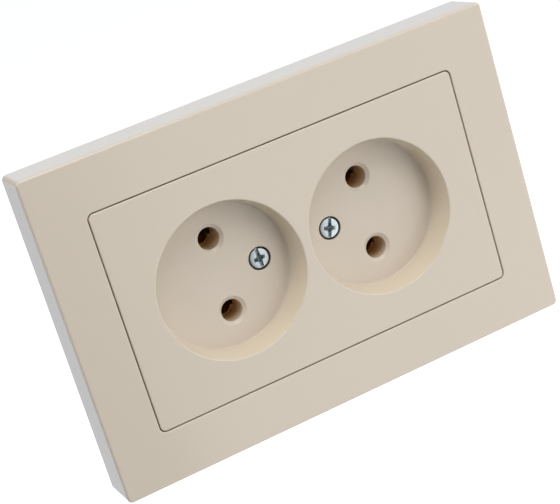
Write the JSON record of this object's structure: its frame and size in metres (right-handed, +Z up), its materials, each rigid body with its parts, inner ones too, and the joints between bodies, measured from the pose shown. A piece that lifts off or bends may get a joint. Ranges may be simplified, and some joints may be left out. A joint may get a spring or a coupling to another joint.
{
  "type": "duplex wall outlet",
  "caption": "Flush wall outlet with recessed round two-pin sockets side by side in one cover and frame, on a steel yoke with contacts, screw terminals and claws.",
  "frame": {"origin": "centre of the outlet on the wall surface, midway between the two wall-box screws", "axes": "+X to the right as seen by the user, +Z up, -Y out of the wall towards the user"},
  "size_m": [0.1238, 0.0328, 0.082],
  "materials": {
    "frame_plastic": "glossy ivory moulding",
    "cover_plastic": "satin ivory moulding",
    "zinc_steel": "bright zinc plate",
    "galvanised_steel": "galvanised sheet",
    "spring_steel": "satin",
    "contact_brass": "rolled strip, slightly dull",
    "insulator": "matte off-white thermoset"
  },
  "bodies": {
    "mechanism": {"outer_frame": "frame_plastic", "yoke": "galvanised_steel", "yoke_rivets": "galvanised_steel", "contact_retainer": "insulator", "socket_base": "insulator", "busbar_line": "contact_brass", "busbar_neutral": "contact_brass", "clip_rivets": "contact_brass", "contact_clip_line_left": "contact_brass", "clip_spring_line_left": "spring_steel", "contact_clip_line_right": "contact_brass", "clip_spring_line_right": "spring_steel", "contact_clip_neutral_left": "contact_brass", "clip_spring_neutral_left": "spring_steel", "contact_clip_neutral_right": "contact_brass", "clip_spring_neutral_right": "spring_steel", "claw_pin_left": "spring_steel", "claw_pin_right": "spring_steel"},
    "cover": {"front_cover": "cover_plastic"},
    "cover_screw_left": {"cover_screw_left": "zinc_steel"},
    "cover_screw_right": {"cover_screw_right": "zinc_steel"},
    "claw_left": {"claw_left": "galvanised_steel"},
    "claw_nut_left": {"claw_nut_left": "galvanised_steel"},
    "claw_screw_left": {"claw_screw_left": "zinc_steel"},
    "claw_right": {"claw_right": "galvanised_steel"},
    "claw_nut_right": {"claw_nut_right": "galvanised_steel"},
    "claw_screw_right": {"claw_screw_right": "zinc_steel"},
    "clamp_plate_line_left": {"clamp_plate_line_left": "galvanised_steel"},
    "terminal_screw_line_left": {"terminal_screw_line_left": "zinc_steel"},
    "clamp_plate_line_right": {"clamp_plate_line_right": "galvanised_steel"},
    "terminal_screw_line_right": {"terminal_screw_line_right": "zinc_steel"},
    "clamp_plate_neutral_left": {"clamp_plate_neutral_left": "galvanised_steel"},
    "terminal_screw_neutral_left": {"terminal_screw_neutral_left": "zinc_steel"},
    "clamp_plate_neutral_right": {"clamp_plate_neutral_right": "galvanised_steel"},
    "terminal_screw_neutral_right": {"terminal_screw_neutral_right": "zinc_steel"}
  },
  "joints": [
    {"name": "cover_lift", "type": "slide", "parent": "mechanism", "child": "cover", "axis": [0, -1, 0], "range_m": [0, 0.006]},
    {"name": "cover_screw_left_turn", "type": "hinge", "parent": "cover", "child": "cover_screw_left", "pos_m": [-0.0099, -0.0044, 0], "axis": [0, -1, 0], "range_deg": [0, 4320]},
    {"name": "cover_screw_right_turn", "type": "hinge", "parent": "cover", "child": "cover_screw_right", "pos_m": [0.0099, -0.0044, 0], "axis": [0, -1, 0], "range_deg": [0, 4320]},
    {"name": "claw_screw_left_turn", "type": "hinge", "parent": "mechanism", "child": "claw_screw_left", "pos_m": [-0.028, -0.0024, 0], "axis": [0, 1, 0], "range_deg": [0, 828]},
    {"name": "claw_left_swing", "type": "hinge", "parent": "mechanism", "child": "claw_left", "pos_m": [-0.0226, 0.0046, 0], "axis": [0, 0, 1], "range_deg": [0, 15]},
    {"name": "claw_nut_left_travel", "type": "slide", "parent": "mechanism", "child": "claw_nut_left", "axis": [0, -1, 0], "range_m": [0, 0.00138]},
    {"name": "claw_screw_right_turn", "type": "hinge", "parent": "mechanism", "child": "claw_screw_right", "pos_m": [0.028, -0.0024, 0], "axis": [0, 1, 0], "range_deg": [0, 828]},
    {"name": "claw_right_swing", "type": "hinge", "parent": "mechanism", "child": "claw_right", "pos_m": [0.0226, 0.0046, 0], "axis": [0, 0, -1], "range_deg": [0, 15]},
    {"name": "claw_nut_right_travel", "type": "slide", "parent": "mechanism", "child": "claw_nut_right", "axis": [0, -1, 0], "range_m": [0, 0.00138]},
    {"name": "clamp_line_left_travel", "type": "slide", "parent": "mechanism", "child": "clamp_plate_line_left", "axis": [0, -1, 0], "range_m": [0, 0.003]},
    {"name": "terminal_screw_line_left_turn", "type": "hinge", "parent": "clamp_plate_line_left", "child": "terminal_screw_line_left", "pos_m": [-0.005, 0.00275, 0.017], "axis": [0, -1, 0], "range_deg": [0, 1800]},
    {"name": "clamp_line_right_travel", "type": "slide", "parent": "mechanism", "child": "clamp_plate_line_right", "axis": [0, -1, 0], "range_m": [0, 0.003]},
    {"name": "terminal_screw_line_right_turn", "type": "hinge", "parent": "clamp_plate_line_right", "child": "terminal_screw_line_right", "pos_m": [0.005, 0.00275, 0.017], "axis": [0, -1, 0], "range_deg": [0, 1800]},
    {"name": "clamp_neutral_left_travel", "type": "slide", "parent": "mechanism", "child": "clamp_plate_neutral_left", "axis": [0, -1, 0], "range_m": [0, 0.003]},
    {"name": "terminal_screw_neutral_left_turn", "type": "hinge", "parent": "clamp_plate_neutral_left", "child": "terminal_screw_neutral_left", "pos_m": [-0.005, 0.00275, -0.017], "axis": [0, -1, 0], "range_deg": [0, 1800]},
    {"name": "clamp_neutral_right_travel", "type": "slide", "parent": "mechanism", "child": "clamp_plate_neutral_right", "axis": [0, -1, 0], "range_m": [0, 0.003]},
    {"name": "terminal_screw_neutral_right_turn", "type": "hinge", "parent": "clamp_plate_neutral_right", "child": "terminal_screw_neutral_right", "pos_m": [0.005, 0.00275, -0.017], "axis": [0, -1, 0], "range_deg": [0, 1800]}
  ],
  "couplings": [
    {"joint": "cover_screw_left_turn", "follows": "cover_lift", "rad_per_m": 12566},
    {"joint": "cover_screw_right_turn", "follows": "cover_lift", "rad_per_m": 12566},
    {"joint": "claw_left_swing", "follows": "claw_nut_left_travel", "rad_per_m": 189.71},
    {"joint": "claw_screw_left_turn", "follows": "claw_nut_left_travel", "rad_per_m": 10472},
    {"joint": "claw_right_swing", "follows": "claw_nut_right_travel", "rad_per_m": 189.71},
    {"joint": "claw_screw_right_turn", "follows": "claw_nut_right_travel", "rad_per_m": 10472},
    {"joint": "terminal_screw_line_left_turn", "follows": "clamp_line_left_travel", "rad_per_m": 10472},
    {"joint": "terminal_screw_line_right_turn", "follows": "clamp_line_right_travel", "rad_per_m": 10472},
    {"joint": "terminal_screw_neutral_left_turn", "follows": "clamp_neutral_left_travel", "rad_per_m": 10472},
    {"joint": "terminal_screw_neutral_right_turn", "follows": "clamp_neutral_right_travel", "rad_per_m": 10472}
  ]
}
